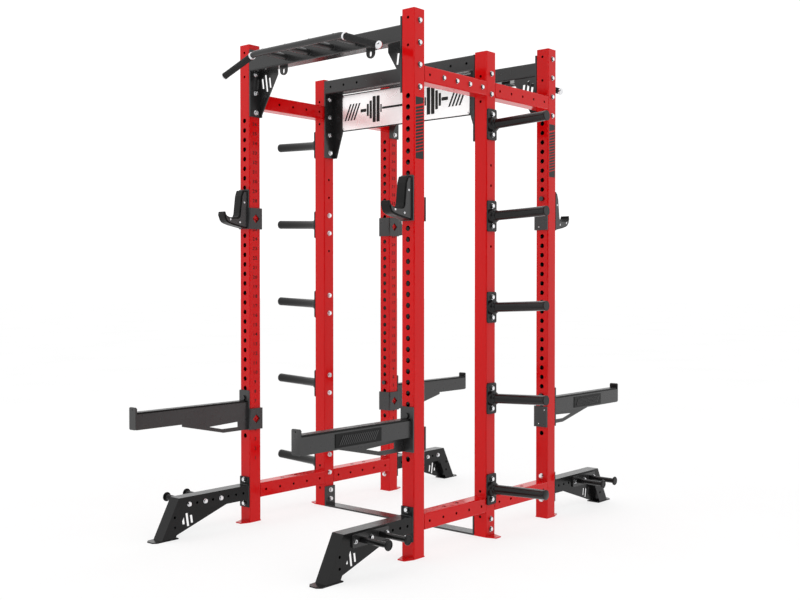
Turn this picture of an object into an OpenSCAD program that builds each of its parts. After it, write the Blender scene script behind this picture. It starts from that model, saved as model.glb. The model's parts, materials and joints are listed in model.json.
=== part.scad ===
// Power cage: six square-tube uprights, side beams, crossmembers, pull-up frames, feet, storage pegs,
// and bar hooks and spotter arms that pin into the front and rear uprights.
// +Z is up, X runs across the cage, Y runs along it, and the origin is on the floor at its centre.

/* [Frame] */
// Distance between upright centres across the cage
frame_w = 1143; // [1000:1:1300]
// Distance between upright centres along one side bay
bay_d = 558.8; // [500:0.1:700]
// Height of the four rack uprights
rack_h = 2540; // [2500:1:2600]
// Height of the two middle uprights
middle_h = 2434; // [2430:1:2490]
// Side of the square frame tube
tube = 76.2; // [76.2:0.1:80]
// Wall of the square frame tube
wall = 4.8; // [3:0.1:6]
// Outer corner radius of the square frame tube
corner_r = 6.3; // [5:0.1:8]
// Thickness of the base plates
base_t = 6; // [5:0.5:10]

/* [Attachment holes] */
// Diameter of the numbered attachment holes
hole_d = 25.4; // [25.4:0.1:26]
// Distance between neighbouring attachment holes
hole_pitch = 50.8; // [50.8:0.1:52]
// Height that hole number 1 would have
hole_1_z = 361.2; // [355:0.1:365]
// Number of the lowest attachment hole
first_hole = 3; // [3:1:6]
// Number of the highest attachment hole
last_hole = 36; // [30:1:36]
// Diameter of the small holes
small_d = 14; // [12:0.5:16]

/* [Beams] */
// Centre height of the top side beams
top_beam_z = 2247.1; // [2240:0.1:2255]
// Centre height of the bottom side beams, the feet and the band pegs
bottom_beam_z = 164.1; // [160:0.1:170]
// Distance between the small holes along a side beam
beam_hole_pitch = 101.6; // [90:0.1:105]
// Centre height of the front and rear crossmembers
crossmember_z = 2435.1; // [2430:0.1:2440]
// Centre height of the middle crossmember
middle_crossmember_z = 2387; // [2380:0.1:2390]
// Thickness of the crossmember end plates
end_plate_t = 9; // [6:0.5:10]
// Thickness of the crossmember gussets
gusset_t = 7.5; // [6:0.5:8]

/* [Pull-up frames] */
// Reach of the outer bar from the upright centre
bar_reach = 198.7; // [150:0.1:220]
// Diameter of the outer bar
bar_d = 31; // [28:0.5:34]
// Diameter of the neutral-grip bars
neutral_d = 32; // [28:0.5:34]
// Height of the outer bar's axis
bar_z = 2430; // [2420:1:2440]
// Where the outer bar bends down, from the cage's centre plane
bend_x = 300.6; // [290:0.1:310]
// Angle at which the bar ends slope down
bend_deg = 19; // [10:1:25]
// Diameter of the rubber grips
grip_d = 33.5; // [32:0.5:36]

/* [Storage pegs] */
// Centre height of the lowest peg plate
peg_1_z = 241.1; // [235:0.1:245]
// Distance between neighbouring pegs
peg_pitch = 457.2; // [455:0.1:457.2]
// Diameter of the peg's tube
peg_d = 48.3; // [42:0.1:49]
// Reach of the peg's end from the upright's face
peg_reach = 331; // [250:1:400]
// Upward tilt of a peg
peg_tilt = 2.25; // [0:0.25:5]
// Height, width and thickness of a peg plate
peg_plate = [155, 74, 8];

/* [Feet] */
// Width of a foot
foot_w = 70; // [60:1:76]
// Where the sloping leg starts on the foot's top, from the upright's face
foot_reach = 462; // [400:1:520]
// Distance between the side holes of a foot
foot_hole_pitch = 50.8; // [50.8:0.1:51]
// Length of a band peg from its plate
band_peg_l = 162; // [100:1:180]
// Distance between the two band pegs of a plate
band_peg_pitch = 127; // [120:0.1:135]

/* [Bar hooks and spotter arms] */
// Number of the hole that holds each bar hook's pin
hook_hole = 28; // [20:1:30]
// Number of the hole that holds each spotter arm's pin
arm_hole = 7; // [7:1:12]
// Diameter of the pins
pin_d = 25.25; // [25.2:0.01:25.38]
// Thickness of the hook's and arm's steel plates
bracket_t = 8; // [6:0.5:8]
// Length of a spotter arm from the upright's face to the tip's outer face
arm_l = 710; // [600:1:800]
// Width of a spotter arm's tube
arm_w = 50.8; // [50.8:0.1:55]

/* [Fasteners] */
// Diameter of the large bolts
bolt_d = 15.9; // [14:0.1:16]
// Width across the flats of the large bolts' heads and nuts
bolt_af = 21; // [18:0.5:21]
// Diameter of the small bolts
small_bolt_d = 12.7; // [10:0.1:13]
// Width across the flats of the small bolts' heads and nuts
small_bolt_af = 19; // [16:0.5:20]
// Diameter of the large bolts' holes
bolt_hole_d = 17; // [16.5:0.1:18]

/* [Hidden] */

$fn = 48;
eps = 1;
left = -1;
right = 1;
front = -1;
middle = 0;
rear = 1;

half = tube / 2;
// Inner faces of the uprights, measured from the cage's centre plane
inner_x = frame_w / 2 - half;
cap_t = 3;
beam_l = bay_d - tube;

// Levels of the crossmember bolts, and of the bolts of a foot and of the floor bar
rack_plate_bolts = [for (i = [0:3]) crossmember_z + hole_pitch - i * 2 * hole_pitch];
middle_plate_bolts = [for (i = [0:3]) peg_1_z + 4 * peg_pitch + hole_pitch * (5 - 2 * i)];
foot_bolts = [bottom_beam_z - 62, bottom_beam_z + 65];
floor_bar_bolts = [38.9, 89.7];
peg_levels = [for (i = [0:4]) peg_1_z + i * peg_pitch];

// Small holes of the uprights, by level
rack_small_holes = [crossmember_z + 63.6, crossmember_z - 63.4];
middle_front_holes = [middle_h - 123, middle_h - 249, 229, 101];
middle_side_holes = [1866.7, 1765.1, 1460.3];

// Band-peg plate: its middle, its bolts and its pegs, from the upright's face
foot_first_hole = 43.4;
band_plate_d = foot_first_hole + 5 * foot_hole_pitch;
band_plate_l = 235;
band_plate_h = 59;
band_bolts = [for (i = [-2, 0, 2]) band_plate_d + i * foot_hole_pitch];
band_peg_places = [for (i = [-1, 1]) band_plate_d + i * band_peg_pitch / 2];

// Hooks and arms: pin levels, clearance to the upright, and the heights of the wrap from the pin
hook_z = hole_1_z + (hook_hole - 1) * hole_pitch;
arm_z = hole_1_z + (arm_hole - 1) * hole_pitch;
gap = 0.5;
wrap_gap = 1.5;
wrap_low = -169;
wrap_high = -57;
plate_high = 41;
wrap_end_y = half + 9;
// How far a pin stands out of the upright's far side, how deep a hook's pin is rooted in its plate,
// and how far an arm's pin stands out of its plate
pin_out = 12;
pin_root = 2;
pin_proud = 9;

// ---------- shared shapes ----------

// A rectangle with round corners, centred
module rounded(w, h, r) {
  square([w - 2 * r, h], center = true);
  square([w, h - 2 * r], center = true);
  for (x = [-1, 1], y = [-1, 1])
    translate([x * (w / 2 - r), y * (h / 2 - r)])
      circle(r);
}

// Square frame tube along +Z
module square_tube(l) {
  linear_extrude(l)
    difference() {
      rounded(tube, tube, corner_r);
      rounded(tube - 2 * wall, tube - 2 * wall, corner_r - wall);
    }
}

// Cylinder along X or Y, centred on the origin
module along_x(d, l) {
  rotate([0, 90, 0])
    cylinder(d = d, h = l, center = true);
}

module along_y(d, l) {
  rotate([90, 0, 0])
    cylinder(d = d, h = l, center = true);
}

// Places at a front or rear corner upright: +X points into the cage, and -Y points away from it
module at_corner(side, end) {
  translate([side * frame_w / 2, end * bay_d, 0])
    mirror([side > 0 ? 1 : 0, 0, 0])
      mirror([0, end > 0 ? 1 : 0, 0])
        children();
}

// Places at the front or rear station on the centre plane: -Y points away from the cage
module at_end(end) {
  translate([0, end * bay_d, 0])
    mirror([0, end > 0 ? 1 : 0, 0])
      children();
}

// Both sides of the centre plane
module both_sides() {
  for (m = [0, 1])
    mirror([m, 0, 0])
      children();
}

// Extrudes an outline of (distance out from the upright's face, height) between two X values
module outboard(x0, x1) {
  translate([x1, -half, 0])
    rotate([90, 0, -90])
      linear_extrude(x1 - x0)
        children();
}

// Extrudes an outline of (x, height) between two Y values
module across(y0, y1) {
  translate([0, y1, 0])
    rotate([90, 0, 0])
      linear_extrude(y1 - y0)
        children();
}

// Outline of three slanting slots, the middle one the tallest, from its height and their pitch
module slots(tall, pitch) {
  slot_w = 0.62 * pitch;
  for (i = [-1:1]) {
    rise = tall * (0.5 - 0.2 * abs(i));
    lean = 0.15 * rise;
    translate([i * pitch, 0])
      polygon([
        [-lean - slot_w / 2, -rise], [-lean + slot_w / 2, -rise],
        [lean + slot_w / 2, rise], [lean - slot_w / 2, rise],
      ]);
  }
}

// Bolt with washers and nut: its head stands above z = 0 and its shank runs down through the grip
module bolt(grip, d = bolt_d, af = bolt_af) {
  washer_t = 2;
  washer_d = af * 1.28;
  head_h = af * 0.32;
  nut_h = af * 0.4;
  cylinder(d = washer_d, h = washer_t);
  translate([0, 0, washer_t])
    cylinder(d = af / cos(30), h = head_h, $fn = 6);
  translate([0, 0, -grip - washer_t - nut_h - 2])
    cylinder(d = d, h = grip + washer_t + nut_h + 3);
  translate([0, 0, -grip - washer_t])
    cylinder(d = washer_d, h = washer_t);
  translate([0, 0, -grip - washer_t - nut_h])
    cylinder(d = af / cos(30), h = nut_h, $fn = 6);
}

// ---------- uprights ----------

module rack_upright(side, end) {
  color("firebrick")
    translate([side * frame_w / 2, end * bay_d, 0])
      difference() {
        translate([0, 0, base_t])
          square_tube(rack_h - base_t - cap_t);
        for (n = [first_hole:last_hole])
          translate([0, 0, hole_1_z + (n - 1) * hole_pitch])
            along_y(hole_d, tube + eps);
        for (z = rack_small_holes)
          translate([0, 0, z])
            along_y(small_d, tube + eps);
        for (z = foot_bolts)
          translate([0, 0, z])
            along_y(bolt_hole_d, tube + eps);
        for (z = rack_plate_bolts)
          translate([0, 0, z])
            along_x(bolt_hole_d, tube + eps);
      }
}

module middle_upright(side) {
  peg_bolts = [for (z = peg_levels, i = [-1, 1]) z + i * hole_pitch];
  color("firebrick")
    translate([side * frame_w / 2, 0, 0])
      difference() {
        translate([0, 0, base_t])
          square_tube(middle_h - base_t - cap_t);
        for (z = concat(peg_bolts, floor_bar_bolts, [middle_plate_bolts[0], middle_plate_bolts[1]]))
          translate([0, 0, z])
            along_x(bolt_hole_d, tube + eps);
        for (z = middle_front_holes)
          translate([0, 0, z])
            along_y(small_d, tube + eps);
        for (z = middle_side_holes)
          translate([0, 0, z])
            along_x(small_d, tube + eps);
      }
}

module upright_cap(h) {
  plug = tube - 2 * wall - 1;
  translate([0, 0, h - cap_t])
    linear_extrude(cap_t)
      rounded(tube, tube, corner_r);
  translate([0, 0, h - cap_t - 18])
    linear_extrude(18)
      difference() {
        square(plug, center = true);
        square(plug - 6, center = true);
      }
}

module upright_caps() {
  color("firebrick")
    for (side = [left, right], end = [front, middle, rear])
      translate([side * frame_w / 2, end * bay_d, 0])
        upright_cap(end == middle ? middle_h : rack_h);
}

// Foot plate of an upright, with a tapered tab towards -Y that takes a floor anchor
module base_plate() {
  tab = 50;
  tab_end = 40;
  linear_extrude(base_t)
    difference() {
      union() {
        square(tube, center = true);
        polygon([
          [-half, -half], [-tab_end / 2, -half - tab],
          [tab_end / 2, -half - tab], [half, -half],
        ]);
      }
      translate([0, -half - tab / 2])
        circle(d = small_d);
    }
}

module base_plates() {
  color("firebrick")
    for (side = [left, right]) {
      for (end = [front, rear])
        at_corner(side, end)
          base_plate();
      translate([side * frame_w / 2, 0, 0])
        rotate([0, 0, side * 90])
          base_plate();
    }
}

// ---------- side beams ----------

module side_beam(side, end, z, top_holes = false) {
  color("firebrick")
    translate([side * frame_w / 2, end * bay_d / 2, z])
      difference() {
        translate([0, beam_l / 2, 0])
          rotate([90, 0, 0])
            square_tube(beam_l);
        for (i = [-2:2])
          translate([0, i * beam_hole_pitch, 0])
            along_x(small_d, tube + eps);
        if (top_holes)
          for (i = [-1, 1])
            translate([0, i * hole_pitch, 0])
              cylinder(d = small_d + 8, h = half + eps);
      }
}

module top_beam(side, end) {
  side_beam(side, end, top_beam_z);
}

module bottom_beam(side, end) {
  side_beam(side, end, bottom_beam_z, top_holes = true);
}

// ---------- crossmembers ----------

// Tube between two end plates, with bolt holes, and below each end of the tube a gusset outline
// with places of slots
module crossmember(z, plate_z, bolts, gusset, slot_places, tube_holes) {
  plate_x = inner_x - end_plate_t;
  difference() {
    union() {
      translate([-plate_x, 0, z])
        rotate([0, 90, 0])
          square_tube(2 * plate_x);
      both_sides() {
        translate([plate_x, -half, plate_z[0]])
          cube([end_plate_t, tube, plate_z[1] - plate_z[0]]);
        across(half - gusset_t, half)
          difference() {
            polygon(gusset);
            for (place = slot_places)
              translate(place)
                slots(90, 28);
          }
      }
    }
    for (level = bolts)
      translate([0, 0, level])
        both_sides()
          translate([inner_x - end_plate_t / 2, 0, 0])
            along_x(bolt_hole_d, end_plate_t + eps);
    for (x = tube_holes)
      translate([x, 0, z])
        along_y(small_d, tube + eps);
  }
}

module rack_crossmember(end) {
  low = crossmember_z - 277;
  high = crossmember_z + 76;
  plate_x = inner_x - end_plate_t;
  tube_low = crossmember_z - half;
  edge = 388;
  color([0.2, 0.2, 0.21])
    at_end(end)
      crossmember(crossmember_z, [low, high], rack_plate_bolts, [
        [plate_x, tube_low], [edge, tube_low], [edge, tube_low - 23],
        [plate_x - 9, low + 14], [plate_x - 9, low], [plate_x, low],
      ], [[edge + 88, tube_low - 61]], []);
}

sign_half_w = 457.5;

module middle_crossmember() {
  low = middle_plate_bolts[3] - 29;
  tube_low = middle_crossmember_z - half;
  plate_x = inner_x - end_plate_t;
  color([0.2, 0.2, 0.21])
    crossmember(middle_crossmember_z, [low, middle_crossmember_z + half], middle_plate_bolts, [
      [plate_x, tube_low], [sign_half_w, tube_low], [sign_half_w, tube_low - 217],
      [plate_x - 19, low], [plate_x, low],
    ], [], [for (side = [-1, 1], i = [0:2]) side * (2.75 + i) * beam_hole_pitch]);
}

// ---------- pull-up frames ----------

// Runs along the sloping end of the outer bar, from the bend's corner, with +Z along the bar
module bar_end(s) {
  translate([bend_x, -bar_reach, bar_z])
    rotate([0, 90 + bend_deg, 0])
      translate([0, 0, s])
        children();
}

collar_s = [20, 32];
grip_end_s = 247;
cap_end_s = 262;
core_d = 25;

module pull_up_frame(end) {
  color([0.2, 0.2, 0.21])
    at_end(end) {
      translate([0, -bar_reach, bar_z])
        along_x(bar_d, 2 * bend_x);
      both_sides() {
        bar_end(0) {
          sphere(d = bar_d + 1);
          cylinder(d = bar_d, h = collar_s[1]);
        }
        bar_end(collar_s[1] - eps)
          cylinder(d = core_d, h = grip_end_s - collar_s[1] + eps);
        for (i = [0.5, 1.5])
          translate([i * 165, -half - (bar_reach - half) / 2, bar_z + 2])
            along_y(neutral_d, bar_reach - half);
      }
    }
}

module pull_up_grips() {
  color([0.1, 0.1, 0.1])
    for (end = [front, rear])
      at_end(end)
        both_sides()
          bar_end(collar_s[1])
            difference() {
              cylinder(d = grip_d, h = grip_end_s - collar_s[1]);
              translate([0, 0, -eps])
                cylinder(d = core_d, h = grip_end_s - collar_s[1] + 2 * eps);
            }
}

module pull_up_collars() {
  color("silver")
    for (end = [front, rear])
      at_end(end)
        both_sides() {
          bar_end(collar_s[0])
            difference() {
              cylinder(d = grip_d + 4.5, h = collar_s[1] - collar_s[0]);
              translate([0, 0, -eps])
                cylinder(d = bar_d, h = collar_s[1] - collar_s[0] + 2 * eps);
            }
          bar_end(grip_end_s)
            cylinder(d = grip_d + 5.5, h = cap_end_s - grip_end_s);
        }
}

module strap_lugs() {
  lug_r = 26.5;
  tube_low = crossmember_z - half;
  lug_z = tube_low - 17.8;
  eye_z = tube_low - 23;
  color([0.2, 0.2, 0.21])
    for (end = [front, rear])
      at_end(end)
        both_sides()
          across(-4.5, 4.5)
            translate([305, 0])
              difference() {
                union() {
                  translate([-lug_r, lug_z])
                    square([2 * lug_r, tube_low - lug_z]);
                  translate([0, lug_z])
                    circle(lug_r);
                }
                translate([-lug_r, tube_low])
                  square([2 * lug_r, lug_r]);
                translate([-9, eye_z - 4])
                  square([18, 8]);
                for (i = [-1, 1])
                  translate([0, eye_z + i * 4])
                    circle(9);
              }
}

// ---------- sign ----------

sign_low = middle_crossmember_z - 250;
sign_high = middle_crossmember_z - 42;
sign_z = (sign_low + sign_high) / 2;

module sign_backing() {
  color([0.12, 0.12, 0.12])
    across(half - gusset_t, half - 1.5)
      translate([0, sign_z])
        square([2 * sign_half_w, sign_high - sign_low], center = true);
}

module sign_plate() {
  border = 6;
  color("gainsboro")
    across(half - gusset_t - 2, half - gusset_t)
      translate([0, sign_z])
        rounded(2 * (sign_half_w - border), sign_high - sign_low - 2 * border, 12);
}

// ---------- floor bar ----------

module floor_bar() {
  thick = 9;
  plate_h = floor_bar_bolts[1] + 22;
  color([0.2, 0.2, 0.21])
    difference() {
      union() {
        translate([-inner_x, -half, 0])
          cube([2 * inner_x, tube, thick]);
        both_sides()
          translate([inner_x - thick, -half, 0])
            cube([thick, tube, plate_h]);
      }
      for (z = floor_bar_bolts)
        both_sides()
          translate([inner_x, 0, z])
            along_x(bolt_hole_d, 2 * thick + eps);
    }
}

// ---------- feet ----------

foot_top = bottom_beam_z + half;
foot_low = bottom_beam_z - half;
// Slope of the leg: distance out for each millimetre down
leg_slope = 103 / 196;
leg_w = 82;
// Web below a foot's tube: its start from the upright's face, thickness and the place of its slots
web_start = 102;
web_t = 6;
web_slots = [384, 78];

// Outline of a foot's side, shrunk by an inset on every side but the one at the upright
function foot_outline(inset) = let (
  slant = inset * sqrt(1 + leg_slope * leg_slope),
  low = inset > 0 ? base_t + inset : base_t,
  top = foot_top - inset,
  front_d = foot_reach - slant,
  rear_d = foot_reach + leg_slope * (foot_top - base_t) - leg_w + slant
) [
  [bracket_t, foot_low + inset],
  [bracket_t, top],
  [front_d + leg_slope * inset, top],
  [front_d + leg_slope * (foot_top - low), low],
  [rear_d + leg_slope * (base_t - low), low],
  [rear_d - leg_slope * (foot_low + inset - base_t), foot_low + inset],
];

module foot(side, end) {
  plate_low = foot_bolts[0] - 19;
  plate_high = foot_bolts[1] + 15;
  toe = foot_reach + leg_slope * (foot_top - base_t);
  base = [toe - leg_w - 16, toe + 48];
  color([0.2, 0.2, 0.21])
    at_corner(side, end)
      difference() {
        union() {
          difference() {
            outboard(-foot_w / 2, foot_w / 2)
              polygon(foot_outline(0));
            outboard(5 - foot_w / 2, foot_w / 2 - 5)
              polygon(foot_outline(5));
          }
          // End plate
          outboard(-foot_w / 2, foot_w / 2)
            translate([0, plate_low])
              square([bracket_t, plate_high - plate_low]);
          // Web from below the tube down to the base plate
          outboard(-web_t / 2, web_t / 2)
            difference() {
              polygon([
                [web_start, foot_low + 1], [toe - leg_w - leg_slope * 120 + 2, foot_low + 1],
                [toe - leg_w + 2, base_t - 1], [base[0] + 1, base_t - 1],
              ]);
              translate(web_slots)
                slots(68, 26);
            }
          // Base plate with chamfered toe
          linear_extrude(base_t)
            polygon([
              [-half, -half - base[0]], [-half, -half - base[1] + 18], [-half + 18, -half - base[1]],
              [half - 18, -half - base[1]], [half, -half - base[1] + 18], [half, -half - base[0]],
            ]);
        }
        for (z = foot_bolts)
          translate([0, -half, z])
            along_y(bolt_hole_d, 4 * bracket_t);
        for (i = [0:7])
          translate([0, -half - foot_first_hole - i * foot_hole_pitch, bottom_beam_z])
            along_x(small_d, foot_w + eps);
        for (z = [110, 59])
          translate([0, -half - foot_reach - 25, z])
            along_x(small_d, foot_w + eps);
      }
}

// Shapes on a foot's outer side: +Z points out sideways, at a distance from the upright's face
module on_foot(d) {
  translate([-foot_w / 2, -half - d, bottom_beam_z])
    rotate([0, -90, 0])
      children();
}

module band_peg_plates() {
  color([0.2, 0.2, 0.21])
    for (side = [left, right], end = [front, rear])
      at_corner(side, end)
        on_foot(band_plate_d)
          difference() {
            linear_extrude(bracket_t)
              rounded(band_plate_h, band_plate_l, 8);
            for (d = band_bolts)
              translate([0, band_plate_d - d, -eps])
                cylinder(d = small_d, h = bracket_t + 2 * eps);
          }
}

// Tube with a dished disc on its end, welded to its plate
module band_peg() {
  body_r = 26.7 / 2;
  disc_r = 24;
  disc_t = 9;
  translate([0, 0, bracket_t])
    cylinder(r = body_r, h = band_peg_l - disc_t / 2);
  translate([0, 0, bracket_t + band_peg_l])
    rotate_extrude()
      polygon([
        [0, -disc_t], [body_r, -disc_t], [disc_r - 1.5, 1.5 - disc_t], [disc_r, 3 - disc_t],
        [disc_r, -2], [disc_r - 2, 0], [disc_r - 4, 0], [disc_r - 5, -2.5],
        [body_r + 1.5, -2.5], [body_r, -1], [0, -1],
      ]);
}

module band_pegs() {
  color([0.15, 0.15, 0.16])
    for (side = [left, right], end = [front, rear])
      at_corner(side, end)
        for (d = band_peg_places)
          on_foot(d)
            band_peg();
}

// ---------- storage pegs ----------

module storage_peg(side, level) {
  collar_r = 37;
  cap_l = 12;
  shaft_l = (peg_reach - peg_plate[2]) / cos(peg_tilt);
  color([0.15, 0.15, 0.16])
    translate([side * frame_w / 2, 0, peg_1_z + (level - 1) * peg_pitch])
      mirror([side < 0 ? 1 : 0, 0, 0]) {
        difference() {
          translate([half, 0, 0])
            rotate([0, 90, 0])
              linear_extrude(peg_plate[2])
                rounded(peg_plate[0], peg_plate[1], 10);
          for (i = [-1, 1])
            translate([half + peg_plate[2] / 2, 0, i * hole_pitch])
              along_x(bolt_hole_d, peg_plate[2] + eps);
        }
        translate([half + peg_plate[2], 0, 0])
          rotate([0, 90 - peg_tilt, 0]) {
            // Rubber collar against the plate
            rotate_extrude()
              polygon([
                [0, -2], [collar_r, -2], [collar_r, 12], [collar_r - 1.5, 16], [collar_r - 5, 18.5],
                [peg_d / 2 + 4, 20], [peg_d / 2 + 4, 28], [peg_d / 2 + 1.5, 31], [0, 31],
              ]);
            cylinder(d = peg_d, h = shaft_l - cap_l);
            translate([0, 0, shaft_l - cap_l])
              cylinder(d = peg_d + 0.4, h = cap_l);
          }
      }
}

// ---------- bar hooks and spotter arms ----------

// Front plate, pin and wrap that hold a hook or an arm to an upright, at the pin's level. The pin
// starts at a distance in front of the upright's centre
module bracket(z, plate_low, pin_front) {
  outer_y = -half - bracket_t;
  side_x = half + wrap_gap + bracket_t;
  wrap_r = 8;
  translate([0, 0, z]) {
    across(outer_y, -half - gap)
      translate([0, (plate_high + plate_low) / 2])
        rounded(tube, plate_high - plate_low, 6);
    translate([0, (half + pin_out - pin_front) / 2, 0])
      along_y(pin_d, half + pin_out + pin_front);
    difference() {
      translate([0, 0, wrap_low])
        linear_extrude(wrap_high - wrap_low)
          difference() {
            translate([0, (wrap_end_y + outer_y) / 2])
              difference() {
                rounded(2 * side_x, wrap_end_y - outer_y, wrap_r);
                translate([-side_x - eps, -tube])
                  square([side_x + eps - half, 2 * tube]);
              }
            translate([-half - 2 * eps, -half - gap])
              square([tube + wrap_gap + 2 * eps, tube + 2 * gap]);
          }
      // Diamond window that shows a hole number
      translate([half + wrap_gap, 0, (wrap_low + wrap_high) / 2])
        rotate([45, 0, 0])
          cube([3 * bracket_t, 35, 35], center = true);
    }
  }
}

// Side outline of a hook's pad: distance from the upright's face, height from the pin
hook_pad_outline = concat(
  [[bracket_t, 35], [34, 34.5], [37, 32], [47, 3], [58, -88]],
  [for (a = [190:20:270]) [76 + 15 * cos(a), -95 + 15 * sin(a)]],
  [[120, -111], [138, -105], [146, -97], [151, -83], [158, -83], [161, -101]],
  [for (a = [-15:-20:-75]) [118 + 38 * cos(a), -107 + 38 * sin(a)]],
  [[98, -152], [28, -164], [bracket_t, -167]]
);

// Side outline of the steel cheeks that hold the pad
hook_cheek_outline = concat(
  [[bracket_t, 28], [26, 27], [29, 24], [39, 3], [50, -88]],
  [for (a = [190:20:270]) [74 + 23 * cos(a), -95 + 23 * sin(a)]],
  [[120, -119], [136, -112], [150, -103]],
  [for (a = [-15:-20:-75]) [118 + 31 * cos(a), -107 + 31 * sin(a)]],
  [[98, -144], [28, -157], [bracket_t, -160]]
);
hook_pad_w = 50;
hook_cheek_t = 5;

module hook(side, end) {
  color([0.25, 0.25, 0.26])
    at_corner(side, end) {
      bracket(hook_z, wrap_low, half + pin_root);
      translate([0, 0, hook_z])
        both_sides()
          outboard(hook_pad_w / 2, hook_pad_w / 2 + hook_cheek_t)
            polygon(hook_cheek_outline);
    }
}

module hook_pad(side, end) {
  color([0.08, 0.08, 0.08])
    at_corner(side, end)
      translate([0, 0, hook_z])
        outboard(-hook_pad_w / 2, hook_pad_w / 2)
          polygon(hook_pad_outline);
}

arm_low = arm_z - 98.5;
arm_high = arm_low + tube;
arm_wall = 4;
arm_tip_h = 109.5;

module arm(side, end) {
  tube_end = arm_l - bracket_t;
  brace_low = arm_z - 168;
  color([0.25, 0.25, 0.26])
    at_corner(side, end) {
      bracket(arm_z, wrap_low + 1, half + bracket_t + pin_proud);
      difference() {
        outboard(-arm_w / 2, arm_w / 2)
          translate([bracket_t, arm_low])
            square([tube_end - bracket_t, tube]);
        outboard(arm_wall - arm_w / 2, arm_w / 2 - arm_wall)
          translate([bracket_t, arm_low + arm_wall])
            square([tube_end - bracket_t, tube - 2 * arm_wall]);
        translate([0, -half - tube_end / 2, arm_low])
          cylinder(d = small_d, h = 3 * arm_wall, center = true);
      }
      across(-half - arm_l, -half - tube_end)
        translate([0, arm_low + arm_tip_h / 2])
          difference() {
            rounded(arm_w, arm_tip_h, 8);
            translate([0, arm_tip_h / 2 - 12])
              circle(d = 6);
          }
      // Brace plate under the arm, on the cage's side, with its window
      outboard(arm_w / 2 - 6, arm_w / 2)
        difference() {
          polygon([
            [bracket_t, brace_low], [170, brace_low], [431, arm_low - 12],
            [431, arm_low], [bracket_t, arm_low],
          ]);
          polygon([[71, arm_low - 21.5], [262, arm_low - 29.5], [176, brace_low + 20], [70, brace_low + 20]]);
        }
    }
}

module arm_pads(side, end) {
  strip_h = 8.5;
  strip_w = 44;
  badge = [213, 505, 8, 8];
  tube_end = arm_l - bracket_t;
  color([0.08, 0.08, 0.08])
    at_corner(side, end) {
      // Top strip, which turns up behind the tip plate
      outboard(-strip_w / 2, strip_w / 2)
        polygon([
          [bracket_t + 4, arm_high], [tube_end, arm_high], [tube_end, arm_low + arm_tip_h - 6],
          [tube_end - 5, arm_low + arm_tip_h - 6], [tube_end - 5, arm_high + strip_h],
          [bracket_t + 4, arm_high + strip_h],
        ]);
      // Badge panel on the outer side
      outboard(-arm_w / 2 - 3, -arm_w / 2)
        translate([badge[0], arm_low + badge[2]])
          square([badge[1] - badge[0], tube - badge[2] - badge[3]]);
    }
}

// ---------- fasteners ----------

module bolts_through_x(y, levels, outer, inner) {
  for (side = [left, right], z = levels)
    translate([side * (frame_w / 2 + half + outer), y, z])
      rotate([0, side * 90, 0])
        bolt(tube + outer + inner);
}

module bolts() {
  sign_x = sign_half_w - 14;
  sign_rise = (sign_high - sign_low) / 2 - 15;
  peg_bolts = [for (z = peg_levels, i = [-1, 1]) z + i * hole_pitch];
  color("silver") {
    for (end = [front, rear])
      bolts_through_x(end * bay_d, rack_plate_bolts, 0, end_plate_t);
    bolts_through_x(0, [middle_plate_bolts[0], middle_plate_bolts[1]], 0, end_plate_t);
    bolts_through_x(0, [peg_bolts[8], peg_bolts[9]], peg_plate[2], end_plate_t);
    bolts_through_x(0, [for (i = [0:7]) peg_bolts[i]], peg_plate[2], 0);
    bolts_through_x(0, floor_bar_bolts, 0, 9);
    for (i = [-1:2])
      translate([inner_x + tube, -bay_d / 2 + i * beam_hole_pitch, top_beam_z])
        rotate([0, 90, 0])
          bolt(tube, small_bolt_d, small_bolt_af);
    for (side = [left, right], end = [front, rear])
      at_corner(side, end) {
        for (z = foot_bolts)
          translate([0, -half - bracket_t, z])
            rotate([90, 0, 0])
              bolt(tube + bracket_t);
        for (d = band_bolts)
          on_foot(d)
            translate([0, 0, bracket_t])
              bolt(foot_w + bracket_t, small_bolt_d, small_bolt_af);
      }
    for (x = [-1, 1], i = [-1, 1])
      translate([x * sign_x, half - gusset_t - 2, sign_z + i * sign_rise])
        rotate([90, 0, 0])
          cylinder(d = 10, h = 3);
  }
}

rack_upright(left, front);  // upright_front_left
rack_upright(right, front);  // upright_front_right
middle_upright(left);  // upright_middle_left
middle_upright(right);  // upright_middle_right
rack_upright(left, rear);  // upright_rear_left
rack_upright(right, rear);  // upright_rear_right
upright_caps();
base_plates();
top_beam(left, front);  // top_beam_front_left
top_beam(right, front);  // top_beam_front_right
top_beam(left, rear);  // top_beam_rear_left
top_beam(right, rear);  // top_beam_rear_right
bottom_beam(left, front);  // bottom_beam_front_left
bottom_beam(right, front);  // bottom_beam_front_right
bottom_beam(left, rear);  // bottom_beam_rear_left
bottom_beam(right, rear);  // bottom_beam_rear_right
rack_crossmember(front);  // front_crossmember
rack_crossmember(rear);  // rear_crossmember
middle_crossmember();
pull_up_frame(front);  // front_pull_up_frame
pull_up_frame(rear);  // rear_pull_up_frame
pull_up_grips();
pull_up_collars();
strap_lugs();
sign_backing();
sign_plate();
floor_bar();
foot(left, front);  // foot_front_left
foot(right, front);  // foot_front_right
foot(left, rear);  // foot_rear_left
foot(right, rear);  // foot_rear_right
band_peg_plates();
band_pegs();
storage_peg(left, 1);  // storage_peg_left_1
storage_peg(left, 2);  // storage_peg_left_2
storage_peg(left, 3);  // storage_peg_left_3
storage_peg(left, 4);  // storage_peg_left_4
storage_peg(left, 5);  // storage_peg_left_5
storage_peg(right, 1);  // storage_peg_right_1
storage_peg(right, 2);  // storage_peg_right_2
storage_peg(right, 3);  // storage_peg_right_3
storage_peg(right, 4);  // storage_peg_right_4
storage_peg(right, 5);  // storage_peg_right_5
hook(left, front);  // hook_front_left
hook(right, front);  // hook_front_right
hook(left, rear);  // hook_rear_left
hook(right, rear);  // hook_rear_right
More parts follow.
